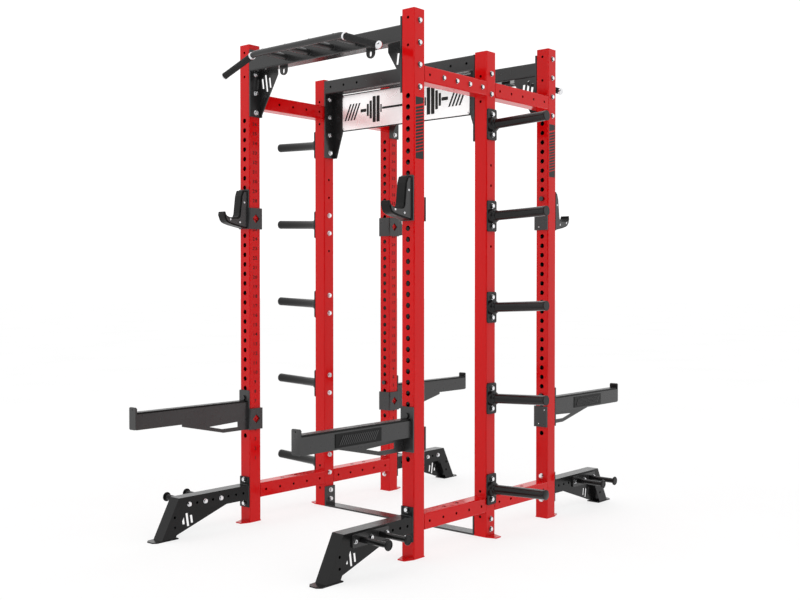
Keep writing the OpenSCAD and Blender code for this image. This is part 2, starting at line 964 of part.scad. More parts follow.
hook_pad(left, front);  // hook_pad_front_left
hook_pad(right, front);  // hook_pad_front_right
hook_pad(left, rear);  // hook_pad_rear_left
hook_pad(right, rear);  // hook_pad_rear_right
arm(left, front);  // arm_front_left
arm(right, front);  // arm_front_right
arm(left, rear);  // arm_rear_left
arm(right, rear);  // arm_rear_right
arm_pads(left, front);  // arm_pads_front_left
arm_pads(right, front);  // arm_pads_front_right
arm_pads(left, rear);  // arm_pads_rear_left
arm_pads(right, rear);  // arm_pads_rear_right
bolts();
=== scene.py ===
"""Power cage: materials, fasteners, grips, markings, light and camera around the CAD frame."""

import json
import math

import bmesh
import bpy
from mathutils import Matrix, Vector


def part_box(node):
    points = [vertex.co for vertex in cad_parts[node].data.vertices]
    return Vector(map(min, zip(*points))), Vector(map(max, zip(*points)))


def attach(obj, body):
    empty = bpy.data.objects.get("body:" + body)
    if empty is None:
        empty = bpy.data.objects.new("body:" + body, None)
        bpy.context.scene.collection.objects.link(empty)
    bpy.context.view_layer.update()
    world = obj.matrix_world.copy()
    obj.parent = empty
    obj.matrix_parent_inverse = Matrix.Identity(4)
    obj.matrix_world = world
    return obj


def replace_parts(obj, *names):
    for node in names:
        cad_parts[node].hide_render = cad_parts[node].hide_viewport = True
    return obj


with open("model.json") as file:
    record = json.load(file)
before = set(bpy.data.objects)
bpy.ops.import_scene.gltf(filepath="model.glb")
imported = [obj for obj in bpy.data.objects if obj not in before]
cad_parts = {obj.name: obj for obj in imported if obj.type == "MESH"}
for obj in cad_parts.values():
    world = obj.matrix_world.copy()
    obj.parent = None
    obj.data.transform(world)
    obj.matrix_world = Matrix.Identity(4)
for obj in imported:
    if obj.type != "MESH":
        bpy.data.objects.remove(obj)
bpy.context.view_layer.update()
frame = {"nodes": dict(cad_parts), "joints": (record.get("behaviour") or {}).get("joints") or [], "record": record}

SIDES = {"left": -1, "right": 1}
ENDS = {"front": -1, "rear": 1}
CORNERS = [(side, end) for end in ENDS for side in SIDES]
MM = 0.001

# Sizes taken from the frame
UPRIGHT_LOW, UPRIGHT_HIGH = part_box("upright_front_right")
TUBE = UPRIGHT_HIGH.x - UPRIGHT_LOW.x
HALF = TUBE / 2
UPRIGHT_X = (UPRIGHT_LOW.x + UPRIGHT_HIGH.x) / 2
BAY = -(UPRIGHT_LOW.y + UPRIGHT_HIGH.y) / 2
INNER_X = UPRIGHT_X - HALF
OUTER_X = UPRIGHT_X + HALF
FACE_Y = BAY + HALF
PINS = {joint["child"]: Vector(joint["pos_m"]) for joint in frame["joints"]}
# The spotter arms' pins sit in hole 7
HOLE_PITCH = 50.8 * MM
HOLE_1_Z = PINS["spotter_arm_front_left"].z - 6 * HOLE_PITCH
LAST_HOLE = 36
# Below this depth the red tubes' inner walls get painted shade, near black
TUBE_SHADE_DEPTH = 2.4 * MM
BEAM_LEVELS = [
    sum(corner.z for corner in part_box(f"{level}_beam_front_left")) / 2
    for level in ("bottom", "top")
]
# Level of the front and rear crossmembers' tubes, and thickness of their end plates
CROSSMEMBER_Z = 2435.1 * MM
CROSSMEMBER_PLATE = 9 * MM
# Thickness of the hooks' and arms' steel plates, and half the width of a foot
PLATE = 8 * MM
FOOT_HALF = 35 * MM


# ---------- materials ----------


class Shader:
    """A Principled material and short ways to add the nodes that vary it."""

    def __init__(self, name, **sockets):
        self.material = bpy.data.materials.new(name)
        self.material.use_nodes = True
        self.tree = self.material.node_tree
        self.bsdf = self.tree.nodes["Principled BSDF"]
        for socket, value in sockets.items():
            self.bsdf.inputs[socket.replace("_", " ")].default_value = value
        self.place = self.node("ShaderNodeTexCoord").outputs["Object"]

    def node(self, kind, **settings):
        made = self.tree.nodes.new(kind)
        for key, value in settings.items():
            setattr(made, key, value)
        return made

    def link(self, source, target):
        self.tree.links.new(source, target)

    def stretched(self, stretch):
        mapping = self.node("ShaderNodeMapping")
        mapping.inputs["Scale"].default_value = stretch
        self.link(self.place, mapping.inputs["Vector"])
        return mapping.outputs["Vector"]

    def noise(self, scale, detail=3.0, stretch=None):
        noise = self.node("ShaderNodeTexNoise")
        noise.inputs["Scale"].default_value = scale
        noise.inputs["Detail"].default_value = detail
        self.link(self.stretched(stretch) if stretch else self.place, noise.inputs["Vector"])
        return noise.outputs["Fac"]

    def cells(self, scale):
        voronoi = self.node("ShaderNodeTexVoronoi")
        voronoi.inputs["Scale"].default_value = scale
        self.link(self.place, voronoi.inputs["Vector"])
        return voronoi.outputs["Distance"]

    def ramp(self, fac, stops):
        ramp = self.node("ShaderNodeValToRGB")
        elements = ramp.color_ramp.elements
        while len(elements) < len(stops):
            elements.new(0.5)
        for element, (position, value) in zip(elements, stops):
            element.position = position
            element.color = (*value, 1) if isinstance(value, tuple) else (value, value, value, 1)
        self.link(fac, ramp.inputs["Fac"])
        return ramp.outputs["Color"]

    def maths(self, operation, *values):
        node = self.node("ShaderNodeMath", operation=operation)
        for value, socket in zip(values, node.inputs):
            if isinstance(value, (int, float)):
                socket.default_value = value
            else:
                self.link(value, socket)
        return node.outputs["Value"]

    def mix(self, fac, colour, other):
        """One colour, and another constant one where fac is 1."""
        mix = self.node("ShaderNodeMix", data_type="RGBA")
        self.link(fac, mix.inputs["Factor"])
        self.link(colour, mix.inputs["A"])
        mix.inputs["B"].default_value = (*other, 1)
        return mix.outputs["Result"]

    def inside_tubes(self):
        """1 on the inner walls of the uprights and side beams, where painted shade goes, and 0 elsewhere."""
        xyz = self.node("ShaderNodeSeparateXYZ")
        self.link(self.place, xyz.inputs["Vector"])

        def off(value, centre):
            return self.maths("ABSOLUTE", self.maths("SUBTRACT", value, centre))

        across = off(self.maths("ABSOLUTE", xyz.outputs["X"]), UPRIGHT_X)
        along = self.maths("ABSOLUTE", xyz.outputs["Y"])
        along = self.maths("MINIMUM", along, off(along, BAY))
        level = self.maths("MINIMUM", *(off(xyz.outputs["Z"], z) for z in BEAM_LEVELS))
        between = self.maths("GREATER_THAN", along, HALF + 1 * MM)
        beam = self.maths("MULTIPLY", between, level)
        upright = self.maths("MULTIPLY", self.maths("SUBTRACT", 1.0, between), along)
        depth = self.maths("MAXIMUM", across, self.maths("ADD", beam, upright))
        return self.maths("LESS_THAN", depth, HALF - TUBE_SHADE_DEPTH)

    def vary_colour(self, fac, stops):
        self.link(self.ramp(fac, stops), self.bsdf.inputs["Base Color"])

    def vary_roughness(self, fac, stops):
        self.link(self.ramp(fac, stops), self.bsdf.inputs["Roughness"])

    def bump(self, height, distance, strength=1.0):
        bump = self.node("ShaderNodeBump")
        bump.inputs["Strength"].default_value = strength
        bump.inputs["Distance"].default_value = distance
        previous = self.bsdf.inputs["Normal"].links
        if previous:
            self.link(previous[0].from_socket, bump.inputs["Normal"])
        self.link(height, bump.inputs["Height"])
        self.link(bump.outputs["Normal"], self.bsdf.inputs["Normal"])


# Near-black painted shade for the inner walls of the hollow red tubes
TUBE_INSIDE_SHADE = (0.012, 0.008, 0.008)


def powder_coat(name, dark, light, rough, ior=1.5, peel=0.00003, shade_inside=False):
    """Baked powder coat: orange-peel waves, and a slightly uneven colour and gloss."""
    shader = Shader(name, IOR=ior)
    colour = shader.ramp(shader.noise(2.5, 2), [(0.3, dark), (0.7, light)])
    if shade_inside:
        # Painted shade: the hollow tubes' inner walls are mixed to near black
        colour = shader.mix(shader.inside_tubes(), colour, TUBE_INSIDE_SHADE)
    shader.link(colour, shader.bsdf.inputs["Base Color"])
    shader.vary_roughness(shader.noise(35, 3), [(0.3, rough - 0.04), (0.7, rough + 0.04)])
    shader.bump(shader.noise(260, 1), peel)
    return shader.material


def bright_metal(name, dark, light, rough, stretch):
    """Plated or polished metal with faint tool marks along one direction."""
    shader = Shader(name, Metallic=1.0)
    shader.vary_colour(shader.noise(60, 2), [(0.3, dark), (0.7, light)])
    shader.vary_roughness(shader.noise(90, 3, stretch), [(0.3, rough * 0.7), (0.7, rough * 1.4)])
    shader.bump(shader.noise(700, 2, stretch), 0.00003)
    return shader.material


def satin_sheet(name, dark, light, rough):
    """Bright sheet metal under a pale lacquer, with a faint glow painted on as light."""
    shader = Shader(name, Metallic=0.7, Emission_Color=(1, 1, 1, 1), Emission_Strength=0.17)
    shader.vary_colour(shader.noise(1.5, 2), [(0.3, dark), (0.7, light)])
    shader.vary_roughness(shader.noise(4, 2), [(0.3, rough - 0.05), (0.7, rough + 0.05)])
    return shader.material


def moulded(name, dark, light, rough, grain, depth, ior=1.45):
    """Moulded plastic or rubber with a leathery mould texture."""
    shader = Shader(name, IOR=ior)
    shader.vary_colour(shader.noise(9, 3), [(0.3, dark), (0.7, light)])
    shader.vary_roughness(shader.noise(50, 3), [(0.3, rough - 0.06), (0.7, rough + 0.06)])
    shader.bump(shader.cells(grain), depth)
    return shader.material


def grey(value, tint=1.02):
    return (value, value, value * tint)


RED_TONES = ((0.610, 0.0030, 0.0038), (0.650, 0.0038, 0.0048))
RED = powder_coat("red_powder_coat", *RED_TONES, 0.12, ior=1.28, shade_inside=True)
RED_SOLID = powder_coat("red_powder_coat_solid", *RED_TONES, 0.12, ior=1.28)
BLACK = powder_coat("black_powder_coat", grey(0.016), grey(0.021), 0.24)
FOOT_BLACK = powder_coat("foot_powder_coat", grey(0.005), grey(0.008), 0.22, ior=1.31)
BRACKET = powder_coat("bracket_powder_coat", grey(0.024), grey(0.032), 0.30)
PEG_BLACK = powder_coat("gloss_black_coat", grey(0.004), grey(0.007), 0.18, ior=1.36)
PLASTIC = moulded("moulded_plastic", grey(0.004), grey(0.006), 0.34, 900, 0.00004, ior=1.27)
RUBBER = moulded("grip_rubber", grey(0.008), grey(0.013), 0.62, 650, 0.00020, ior=1.36)
CHROME = bright_metal("chrome", grey(0.74), grey(0.84), 0.08, (1, 1, 1))
# Painted light: the sign's face glows faintly
SIGN = satin_sheet("satin_sheet", (0.95, 0.945, 0.945), (0.98, 0.975, 0.975), 0.30)
ZINC = bright_metal("zinc_plate", grey(0.74), grey(0.88), 0.16, (1, 1, 1))
# Painted shade: the bolt heads' flanks take this dark steel, their machined faces bright zinc
SHADED_FLANK_STEEL = bright_metal("shaded_flank_steel", grey(0.05), grey(0.09), 0.24, (1, 1, 1))
VINYL = moulded("vinyl", grey(0.006), grey(0.009), 0.38, 1500, 0.00002, ior=1.36)
ETCHED_TONES = ((0.020, 0.0005, 0.0010), (0.030, 0.0008, 0.0015))
ETCHED = moulded("etched_marks", *ETCHED_TONES, 0.55, 1500, 0.00002, ior=1.3)
OF_SLOT = {
    "red_frame": RED, "black_frame": BLACK, "bracket_steel": BRACKET, "black_pegs": PEG_BLACK,
    "black_plastic": PLASTIC, "grip_rubber": RUBBER, "polished_trim": CHROME,
    "sign_face": SIGN, "zinc": ZINC,
}


# ---------- mesh helpers ----------


def add_piece(name, bm, material, body="root", sharp=35):
    """Makes a piece from a bmesh. It rides on a body and is smooth but for edges over an angle."""
    bmesh.ops.recalc_face_normals(bm, faces=bm.faces)
    for edge in bm.edges:
        if len(edge.link_faces) == 2 and edge.calc_face_angle() > math.radians(sharp):
            edge.smooth = False
    for face in bm.faces:
        face.smooth = True
    mesh = bpy.data.meshes.new(name)
    bm.to_mesh(mesh)
    bm.free()
    mesh.materials.append(material)
    piece = bpy.data.objects.new(name, mesh)
    bpy.context.scene.collection.objects.link(piece)
    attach(piece, body)
    return piece


def pointing(origin, axis, turn=0.0):
    """A matrix that takes +Z to an axis, after a turn around it."""
    rotation = Vector(axis).to_track_quat("Z", "Y").to_matrix().to_4x4()
    return Matrix.Translation(origin) @ rotation @ Matrix.Rotation(turn, 4, "Z")


def facing(origin, normal):
    """A matrix whose +Z is a level normal, and whose +Y points up."""
    z = Vector(normal)
    y = Vector((0, 0, 1))
    x = y.cross(z)
    return Matrix.Translation(origin) @ Matrix((x, y, z)).transposed().to_4x4()


def corner_point(side, end, inboard, out, z):
    """A point at a rack upright: inboard of its centre, and out from its outer face."""
    return Vector((SIDES[side] * (UPRIGHT_X - inboard), ENDS[end] * (FACE_Y + out), z))


def around(steps):
    """The angles that divide a full turn."""
    return [2 * math.pi * i / steps for i in range(steps)]


def spun(place, radius, angle, height=0.0):
    """A point at an angle around +Z."""
    return place @ Vector((radius * math.cos(angle), radius * math.sin(angle), height))


def join_rings(bm, rings, closed=False):
    pairs = list(zip(rings, rings[1:]))
    if closed:
        pairs.append((rings[-1], rings[0]))
    for one, two in pairs:
        count = max(len(one), len(two))
        for i in range(count):
            j = (i + 1) % count
            corners = [one[i % len(one)], one[j % len(one)], two[j % len(two)], two[i % len(two)]]
            unique = list(dict.fromkeys(corners))
            bm.faces.new(unique)


def lathe(bm, profile, place, steps=32):
    """Spins an outline of (radius, height) around +Z. It starts and ends on the axis."""
    rings = []
    for radius, height in profile:
        if radius == 0:
            rings.append([bm.verts.new(place @ Vector((0, 0, height)))])
            continue
        rings.append([bm.verts.new(spun(place, radius, a, height)) for a in around(steps)])
    join_rings(bm, rings)


def spin_ring(bm, outline, place, steps=32):
    """Spins a closed outline of (radius, height) around +Z."""
    rings = [
        [bm.verts.new(spun(place, radius, a, height)) for a in around(steps)]
        for radius, height in outline
    ]
    join_rings(bm, rings, closed=True)


def prism(bm, outline, place, thickness, base=0.0):
    """Extrudes an outline of (x, y) along +Z."""
    bottom = [bm.verts.new(place @ Vector((x, y, base))) for x, y in outline]
    top = [bm.verts.new(place @ Vector((x, y, base + thickness))) for x, y in outline]
    join_rings(bm, [bottom, top])
    bm.faces.new(bottom[::-1])
    bm.faces.new(top)


def sweep(bm, points, radius, sides=32, ripple=0.0, closed=False):
    """A round bar along a path. Every second ring of a rippled one is thicker."""
    count = len(points)
    rings = []
    normal = None
    for i, point in enumerate(points):
        ahead = points[(i + 1) % count] if closed or i < count - 1 else point
        behind = points[i - 1] if closed or i > 0 else point
        tangent = (ahead - behind).normalized()
        if normal is None:
            normal = tangent.orthogonal().normalized()
        normal = (normal - normal.dot(tangent) * tangent).normalized()
        across = tangent.cross(normal)
        size = radius * (1 + ripple * (i % 2))
        rings.append([
            bm.verts.new(point + size * (math.cos(a) * normal + math.sin(a) * across))
            for a in around(sides)
        ])
    join_rings(bm, rings, closed)
    if not closed:
        bm.faces.new(rings[0][::-1])
        bm.faces.new(rings[-1])


BEAD_STEP = 2.2 * MM
BEAD_SIDES = 8
BEAD_RIPPLE = 0.16


def weld_line(bm, start, end, radius=2.4 * MM):
    """A rippled weld bead between two points."""
    start, end = Vector(start), Vector(end)
    count = int((end - start).length / BEAD_STEP)
    points = [start.lerp(end, i / count) for i in range(count + 1)]
    sweep(bm, points, radius, BEAD_SIDES, BEAD_RIPPLE)


def weld_ring(bm, place, ring_radius, radius=2.0 * MM):
    """A rippled weld bead around +Z."""
    count = 2 * round(math.pi * ring_radius / BEAD_STEP)
    points = [spun(place, ring_radius, a) for a in around(count)]
    sweep(bm, points, radius, BEAD_SIDES, BEAD_RIPPLE, closed=True)


def soften(obj, width, segments=2, angle=32):
    """Rounds the sharp edges of a CAD node with modifiers."""
    weld = obj.modifiers.new("weld", "WELD")
    weld.merge_threshold = 0.00002
    flat = obj.modifiers.new("flat", "DECIMATE")
    flat.decimate_type = "DISSOLVE"
    flat.angle_limit = math.radians(0.5)
    bevel = obj.modifiers.new("bevel", "BEVEL")
    bevel.width = width
    bevel.segments = segments
    bevel.limit_method = "ANGLE"
    bevel.angle_limit = math.radians(angle)
    bevel.harden_normals = True
    bevel.use_clamp_overlap = True


# Radius of the plastic pads' edges and of all others
PAD_EDGE = 2.0 * MM
EDGE = 0.8 * MM


def dress_frame():
    """Paints and softens the CAD nodes that stay."""
    slots = {row["node"]: row["material_slot"] for row in frame["record"]["subparts"]}
    for name, node in frame["nodes"].items():
        node.data.materials.clear()
        if name.startswith("foot_") or name == "band_pegs":
            paint = FOOT_BLACK
        elif name in ("upright_caps", "base_plates"):
            paint = RED_SOLID
        else:
            paint = OF_SLOT[slots[name]]
        node.data.materials.append(paint)
        soften(node, PAD_EDGE if name.startswith("hook_pad") else EDGE)


# ---------- fasteners ----------


def hex_prism(bm, place, flats, height, bore=0.0, steps=36):
    """A hexagon with its top edge chamfered by a cone, and a bore where it is a nut."""
    inner = flats / 2
    lip = inner * 0.94
    angles = around(steps)
    radii = [inner / math.cos((a % (math.pi / 3)) - math.pi / 6) for a in angles]

    def ring(radius_of, height_of):
        return [
            bm.verts.new(spun(place, radius_of(r), a, height_of(r))) for a, r in zip(angles, radii)
        ]

    rings = [
        ring(lambda r: r, lambda r: 0),
        ring(lambda r: r, lambda r: height - (r - lip) * 0.55),
        ring(lambda r: lip, lambda r: height),
    ]
    if bore:
        rings.append(ring(lambda r: bore * 1.08, lambda r: height))
        rings.append(ring(lambda r: bore, lambda r: height - bore * 0.08))
        rings.append(ring(lambda r: bore, lambda r: 0))
        join_rings(bm, rings, closed=True)
    else:
        dish = lip * 0.55
        rings.append(ring(lambda r: dish, lambda r: height))
        rings.append(ring(lambda r: dish * 0.9, lambda r: height - 0.4 * MM))
        join_rings(bm, rings)
        bm.faces.new(rings[-1])
        bm.faces.new(rings[0][::-1])


def thread(bm, place, radius, length, pitch=2.0 * MM):
    """The grooved end of a bolt, standing above z = 0."""
    profile = [(0, 0)]
    turns = int(length / pitch)
    for i in range(turns):
        crest = [(radius, i * pitch), (radius, (i + 0.4) * pitch)]
        profile += crest + [(radius * 0.9, (i + 0.7) * pitch)]
    profile += [(radius * 0.96, length - 0.8 * MM), (radius * 0.84, length), (0, length)]
    lathe(bm, profile, place, 24)


def washer(bm, place, radius, bore, thickness):
    edge = 0.3 * MM
    outline = [
        (bore, 0), (radius, 0), (radius, thickness - edge), (radius - edge, thickness),
        (bore, thickness),
    ]
    spin_ring(bm, outline, place)


def button_screw(bm, place, radius=5.0 * MM, height=2.6 * MM):
    """A domed screw head with a socket."""
    socket = radius * 0.42
    rim, floor = socket * 1.15, height * 0.4
    profile = [(0, floor), (socket * 0.9, floor), (socket, height), (rim, height)]
    for i in range(1, 6):
        turn = math.radians(18 * i)
        profile.append((rim + (radius - rim) * math.sin(turn), height * math.cos(turn)))
    profile.append((0, 0))
    lathe(bm, profile, place, 24)


def solids_of(node):
    """The boxes of a node's separate solids."""
    bm = bmesh.new()
    bm.from_mesh(node.data)
    bmesh.ops.remove_doubles(bm, verts=bm.verts, dist=0.00002)
    left = set(bm.verts)
    boxes = []
    while left:
        stack = [left.pop()]
        found = []
        while stack:
            vert = stack.pop()
            found.append(vert.co.copy())
            for edge in vert.link_edges:
                other = edge.other_vert(vert)
                if other in left:
                    left.remove(other)
                    stack.append(other)
        boxes.append([Vector(f(co[i] for co in found) for i in range(3)) for f in (min, max)])
    bm.free()
    return sorted(boxes, key=lambda box: tuple(round(v, 4) for v in box[0] + box[1]))


# Sizes of a bolt's parts as shares of its width across flats
WASHER_RATIO = 1.28
HEAD_RATIO = 0.32
NUT_RATIO = 0.4
FACE_RATIO = 0.46
# How far a head's machined face goes into the head, and its rim and middle stand out of it
FACE_SUNK = 0.6 * MM
FACE_RIM = 0.25 * MM
FACE_MIDDLE = 0.05 * MM
WASHER_T = 2 * MM
BOLT_TIP = 2 * MM
# Bolts wider across flats than this have the larger shank
LARGE_FLATS = 20 * MM
LARGE_SHANK, SMALL_SHANK = 15.9 * MM, 12.7 * MM
# The sign's screws are the solids smaller than this
SCREW_SIZE = 15 * MM


def add_bolts():
    """Hex bolts, washers and nuts in place of the CAD's plain ones, and the sign's screws.

    The heads' flanks are a darker steel than their machined faces, as painted shade.
    """
    heads, faces, washers, nuts, screws = (bmesh.new() for _ in range(5))
    for index, (low, high) in enumerate(solids_of(frame["nodes"]["bolts"])):
        size, middle = high - low, (low + high) / 2
        if max(size) < SCREW_SIZE:
            place = pointing((middle.x, high.y, middle.z), (0, -1, 0))
            button_screw(screws, place, 5 * MM, 3 * MM)
            continue
        along = max(range(3), key=lambda i: size[i])
        axis = Vector([math.copysign(1, middle[i]) if i == along else 0 for i in range(3)])
        flats = min(size) / WASHER_RATIO
        bolt_radius = (LARGE_SHANK if flats > LARGE_FLATS else SMALL_SHANK) / 2
        outer = middle + axis * (size[along] / 2 - HEAD_RATIO * flats)
        inner = middle - axis * (size[along] / 2 - BOLT_TIP - NUT_RATIO * flats)
        # Each bolt stopped at an angle of its own
        turn = math.radians(37 * index % 60)
        hex_prism(heads, pointing(outer, axis, turn), flats, HEAD_RATIO * flats)
        face_r = FACE_RATIO * flats
        profile = [
            (0, -FACE_SUNK), (face_r, -FACE_SUNK), (face_r, 0.1 * MM),
            (face_r - 0.3 * MM, FACE_RIM), (face_r * 0.62, FACE_RIM),
            (face_r * 0.56, FACE_MIDDLE), (0, FACE_MIDDLE),
        ]
        lathe(faces, profile, pointing(outer + axis * HEAD_RATIO * flats, axis), 36)
        hex_prism(nuts, pointing(inner, -axis, -turn), flats, NUT_RATIO * flats, bolt_radius)
        thread(nuts, pointing(inner, -axis), bolt_radius, NUT_RATIO * flats + BOLT_TIP)
        washer_r = WASHER_RATIO * flats / 2
        for place, way in ((outer, -axis), (inner, axis)):
            washer(washers, pointing(place, way), washer_r, bolt_radius, WASHER_T)
    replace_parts(add_piece("bolt_heads", heads, SHADED_FLANK_STEEL, sharp=28), "bolts")
    add_piece("bolt_faces", faces, ZINC, sharp=28)
    add_piece("bolt_nuts", nuts, ZINC, sharp=28)
    add_piece("bolt_washers", washers, ZINC)
    add_piece("sign_screws", screws, ZINC)


# ---------- pull-up frames ----------

BAR_REACH = 198.7 * MM
BAR_R = 15.5 * MM
NEUTRAL_R = 16 * MM
BAR_Z = 2430 * MM
NEUTRAL_Z = BAR_Z + 2 * MM
NEUTRAL_X = [82.5 * MM, 247.5 * MM]
BEND_X = 300.6 * MM
BEND = math.radians(19)
BEND_R = 70 * MM
BEND_STEPS = 8
# Stations along the sloping end of the bar, from the bend's corner
COLLAR_S = (20 * MM, 32 * MM)
CAP_S = (247 * MM, 262 * MM)
GRIP_R = 16.75 * MM


def bar_axis(side, end, s):
    """A point on the sloping end of the outer bar, and the bar's direction there."""
    way = Vector((SIDES[side] * math.cos(BEND), 0, -math.sin(BEND)))
    corner = Vector((SIDES[side] * BEND_X, ENDS[end] * (BAY + BAR_REACH), BAR_Z))
    return corner + way * s, way


def outer_bar_path(end):
    """The outer bar's axis from one grip to the other, with round bends."""
    trim = BEND_R * math.tan(BEND / 2)
    right = [bar_axis("right", end, CAP_S[0])[0]]
    centre = Vector((BEND_X - trim, ENDS[end] * (BAY + BAR_REACH), BAR_Z - BEND_R))
    for i in range(BEND_STEPS + 1):
        turn = BEND * (1 - i / BEND_STEPS)
        right.append(centre + BEND_R * Vector((math.sin(turn), 0, math.cos(turn))))
    left = [Vector((-p.x, p.y, p.z)) for p in reversed(right)]
    return right + left


def add_pull_up_bars():
    for end, sign in ENDS.items():
        bars = bmesh.new()
        welds = bmesh.new()
        sweep(bars, outer_bar_path(end), BAR_R, 40)
        for x in [way * reach for reach in NEUTRAL_X for way in (-1, 1)]:
            near = Vector((x, sign * FACE_Y, NEUTRAL_Z))
            far = Vector((x, sign * (BAY + BAR_REACH), NEUTRAL_Z))
            sweep(bars, [near, far], NEUTRAL_R, 40)
            weld_ring(welds, pointing(near, (0, 1, 0)), NEUTRAL_R + 0.6 * MM)
            meet = far - Vector((0, sign * (BAR_R + 0.5 * MM), 0))
            weld_ring(welds, pointing(meet, (0, 1, 0)), NEUTRAL_R + 0.4 * MM)
        made = add_piece(f"pull_up_bars_{end}", bars, BLACK)
        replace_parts(made, f"{end}_pull_up_frame")
        add_piece(f"pull_up_welds_{end}", welds, BLACK, sharp=60)


def add_pull_up_grips():
    """Ribbed rubber sleeves between chrome collars and domed chrome caps."""
    grips, trim = bmesh.new(), bmesh.new()
    rib = 5 * MM
    groove = GRIP_R - 0.7 * MM
    collar_r, cap_r = GRIP_R + 2.25 * MM, GRIP_R + 2.75 * MM
    for side, end in CORNERS:
        start, way = bar_axis(side, end, COLLAR_S[1])
        length = CAP_S[0] - COLLAR_S[1]
        profile = [(0, 0), (GRIP_R, 0)]
        for s in [i * rib for i in range(1, int(length / rib))]:
            profile += [
                (GRIP_R, s), (groove, s + 0.6 * MM), (groove, s + 1.4 * MM), (GRIP_R, s + 2 * MM),
            ]
        profile += [(GRIP_R, length), (0, length)]
        lathe(grips, profile, pointing(start, way))

        collar, way = bar_axis(side, end, COLLAR_S[0])
        thick = COLLAR_S[1] - COLLAR_S[0]
        soft, cut = 1.5 * MM, 0.4 * MM
        profile = [
            (0, 0), (collar_r - soft, 0), (collar_r - cut, cut), (collar_r, soft),
            (collar_r, thick - soft), (collar_r - cut, thick - cut), (collar_r - soft, thick),
            (0, thick),
        ]
        lathe(trim, profile, pointing(collar, way), 40)

        cap, way = bar_axis(side, end, CAP_S[0])
        rise, edge = CAP_S[1] - CAP_S[0], 5 * MM
        profile = [(0, 0), (cap_r, 0), (cap_r, edge)]
        for i in range(1, 9):
            turn = math.radians(90 * i / 8)
            radius = cap_r * math.cos(turn) if i < 8 else 0
            profile.append((radius, edge + (rise - edge) * math.sin(turn)))
        lathe(trim, profile, pointing(cap, way), 40)
    sleeves = add_piece("grip_sleeves", grips, RUBBER, sharp=50)
    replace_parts(sleeves, "pull_up_grips")
    collars = add_piece("grip_collars", trim, CHROME, sharp=50)
    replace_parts(collars, "pull_up_collars")


# ---------- hooks and arms ----------

HOOK_PAD_W = 50 * MM
CHEEK = 5 * MM
# Cheek screws of a hook: distance out from the upright's face, and height from the pin
CHEEK_SCREWS = [(27.4 * MM, -30 * MM), (121.5 * MM, -123 * MM), (57.6 * MM, -135.5 * MM)]
# Screws in the back of a wrap: distance inboard of the upright's middle, and height from the pin
WRAP_SCREWS = [(13.7 * MM, -152 * MM), (-23.8 * MM, -75.5 * MM)]
# How far a wrap's back and a pin's far end stand out behind the upright
WRAP_BACK = 9 * MM
PIN_OUT = 12 * MM
# How far an arm's pin stands out of its plate
PIN_PROUD = 9 * MM
PIN_R = 12.625 * MM
ARM_W = 50.8 * MM
ARM_LOW = -98.5 * MM
BADGE = (213 * MM, 505 * MM)
BADGE_PROUD = 3 * MM


def add_hook_screws():
    for side, end in CORNERS:
        body = f"bar_hook_{end}_{side}"
        pin = PINS[body]
        screws = bmesh.new()
        for out, rise in CHEEK_SCREWS:
            for way in (-1, 1):
                place = corner_point(side, end, way * (HOOK_PAD_W / 2 + CHEEK), out, pin.z + rise)
                button_screw(screws, pointing(place, (-way * SIDES[side], 0, 0)), 5.5 * MM)
        add_piece(f"hook_screws_{end}_{side}", screws, ZINC, body)


def add_wrap_screws():
    """Two small screws in the back of each right-hand hook's and arm's wrap."""
    for end in ENDS:
        for body in (f"bar_hook_{end}_right", f"spotter_arm_{end}_right"):
            screws = bmesh.new()
            for inboard, rise in WRAP_SCREWS:
                place = corner_point("right", end, inboard, -TUBE - WRAP_BACK, PINS[body].z + rise)
                button_screw(screws, pointing(place, (0, -ENDS[end], 0)), 3.4 * MM, 1.8 * MM)
            add_piece(f"wrap_screws_{body}", screws, ZINC, body)


def add_pin_sleeves():
    """Near-black sleeves on the pins' free ends as painted shade, whose end faces stay bare."""
    bore, skin, bare = PIN_R - 0.5 * MM, PIN_R + 0.15 * MM, 0.8 * MM
    for side, end in CORNERS:
        for body in (f"bar_hook_{end}_{side}", f"spotter_arm_{end}_{side}"):
            sleeves = bmesh.new()
            stretches = [(-TUBE - 0.4 * MM, -TUBE - PIN_OUT + bare)]
            if body.startswith("spotter_arm"):
                stretches.append((PLATE, PLATE + PIN_PROUD - bare))
            for start, stop in stretches:
                origin = corner_point(side, end, 0, start, PINS[body].z)
                place = pointing(origin, (0, ENDS[end], 0))
                outline = [(bore, 0), (skin, 0), (skin, stop - start), (bore, stop - start)]
                spin_ring(sleeves, outline, place)
            # Painted shade: near-black sleeves round the pins' free ends
            add_piece(f"pin_shade_sleeves_{body}", sleeves, PEG_BLACK, body)


def add_badge_ribs():
    """Raised slanting ribs on the arms' badge panels."""
    width, height, pitch, lean = 6 * MM, 40 * MM, 13 * MM, 12 * MM
    thick, sunk, margin = 2.4 * MM, 0.4 * MM, 25 * MM
    count = int((BADGE[1] - BADGE[0] - 2 * margin) / pitch)
    for side, end in CORNERS:
        body = f"spotter_arm_{end}_{side}"
        ribs = bmesh.new()
        z = PINS[body].z + ARM_LOW + TUBE / 2
        origin = corner_point(side, end, -ARM_W / 2 - BADGE_PROUD, sum(BADGE) / 2, z)
        face = facing(origin, (SIDES[side], 0, 0))
        for i in range(count):
            x = (i - (count - 1) / 2) * pitch
            outline = [
                (x - lean - width / 2, -height / 2), (x - lean + width / 2, -height / 2),
                (x + lean + width / 2, height / 2), (x + lean - width / 2, height / 2),
            ]
            prism(ribs, outline, face, thick, -sunk)
        add_piece(f"arm_badge_ribs_{end}_{side}", ribs, BRACKET, body)


# ---------- welds ----------


